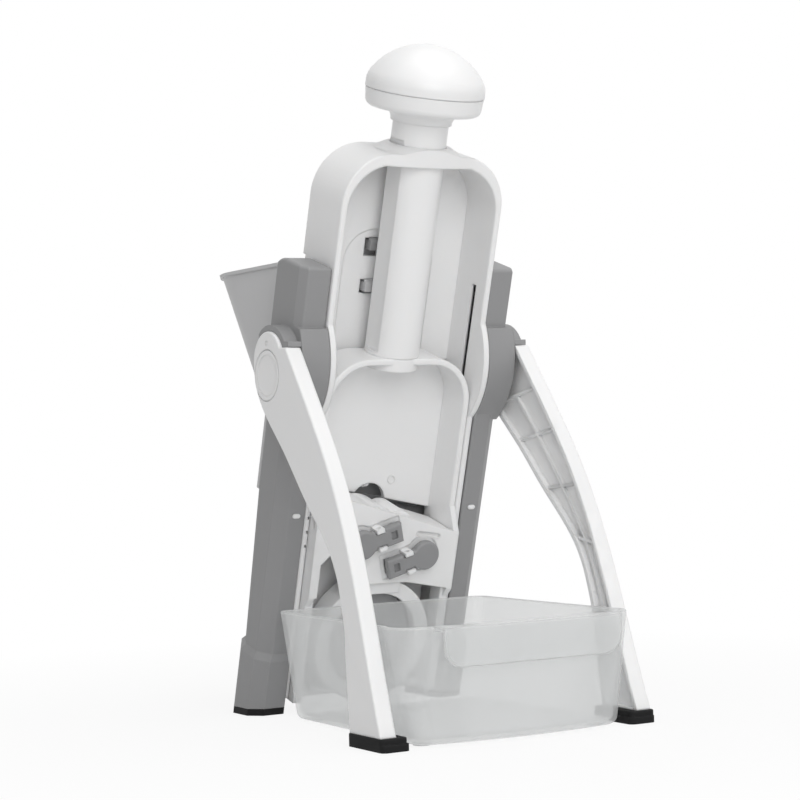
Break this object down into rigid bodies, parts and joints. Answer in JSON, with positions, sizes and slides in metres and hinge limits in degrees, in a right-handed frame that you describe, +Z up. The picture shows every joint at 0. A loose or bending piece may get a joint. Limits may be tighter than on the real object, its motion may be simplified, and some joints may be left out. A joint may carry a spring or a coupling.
{
  "type": "vegetable chopper",
  "caption": "Upright push-down vegetable slicer: leaning stand with feed chute, sprung plunger with palm knob, slicing carriage, folding rear legs and a clear collection tray.",
  "frame": {"origin": "on the floor, under the middle of the whole object's box", "axes": "+X across the stand, +Y towards the feed chute, +Z up; the tray and the legs are on the -Y side"},
  "size_m": [0.1504, 0.221, 0.3277],
  "materials": {
    "white_plastic": "satin moulded",
    "grey_plastic": "fine matt moulded",
    "light_grey_plastic": "fine matt moulded",
    "black_rubber": "matt",
    "clear_plastic": "clear moulded",
    "steel": "brushed"
  },
  "bodies": {
    "stand": {"main_housing": "grey_plastic", "guide_frame": "white_plastic", "feed_chute": "light_grey_plastic", "base_pad_left": "black_rubber", "base_pad_right": "black_rubber", "frame_screws": "steel", "post_studs": "white_plastic", "spring_anchors": "steel", "return_spring_left": "steel", "return_spring_right": "steel", "leg_pin_left": "steel", "leg_pin_right": "steel"},
    "plunger": {"knob_cap": "white_plastic", "knob_base": "white_plastic", "knob_screw": "steel", "stem_tube": "white_plastic", "carriage_frame": "white_plastic", "slicing_blade": "steel", "blade_screws": "steel"},
    "runway": {"runway": "white_plastic"},
    "dial": {"thickness_dial": "grey_plastic", "dial_knob": "grey_plastic", "dial_screw": "steel"},
    "rocker_left": {"rocker_left": "grey_plastic", "comb_left": "steel"},
    "rocker_right": {"rocker_right": "grey_plastic", "comb_right": "steel"},
    "leg_left": {"leg_arm_left": "white_plastic", "leg_cap_left": "white_plastic", "leg_boot_left": "black_rubber"},
    "leg_right": {"leg_arm_right": "white_plastic", "leg_cap_right": "white_plastic", "leg_boot_right": "black_rubber"},
    "tray": {"collection_tray": "clear_plastic"}
  },
  "joints": [
    {"name": "plunger_slide", "type": "slide", "parent": "stand", "child": "plunger", "axis": [0, -0.2924, 0.9563], "range_m": [0, 0.055], "deforming": ["return_spring_left", "return_spring_right"]},
    {"name": "dial_turn", "type": "hinge", "parent": "plunger", "child": "dial", "pos_m": [0, 0.04208, 0.03586], "axis": [0, 0.9563, 0.2924], "range_deg": [0, 270]},
    {"name": "runway_slide", "type": "slide", "parent": "plunger", "child": "runway", "axis": [0, 0.9563, 0.2924], "range_m": [0, 0.0026]},
    {"name": "rocker_left_tilt", "type": "hinge", "parent": "plunger", "child": "rocker_left", "pos_m": [-0.007, 0.01435, 0.08688], "axis": [0.2924, 0.2796, -0.9145], "range_deg": [-3, 3]},
    {"name": "rocker_right_tilt", "type": "hinge", "parent": "plunger", "child": "rocker_right", "pos_m": [0.0114, 0.01815, 0.07445], "axis": [-0.2924, -0.2796, 0.9145], "range_deg": [-3, 3]},
    {"name": "leg_left_fold", "type": "hinge", "parent": "stand", "child": "leg_left", "pos_m": [0, 0.01064, 0.17631], "axis": [1, 0, 0], "range_deg": [0, 40]},
    {"name": "leg_right_fold", "type": "hinge", "parent": "stand", "child": "leg_right", "pos_m": [0, 0.01064, 0.17631], "axis": [1, 0, 0], "range_deg": [0, 40]},
    {"name": "tray_slide", "type": "slide", "parent": "stand", "child": "tray", "axis": [0, -1, 0], "range_m": [0, 0.15]}
  ],
  "couplings": [
    {"joint": "dial_turn", "follows": "runway_slide", "rad_per_m": 1794.3}
  ]
}
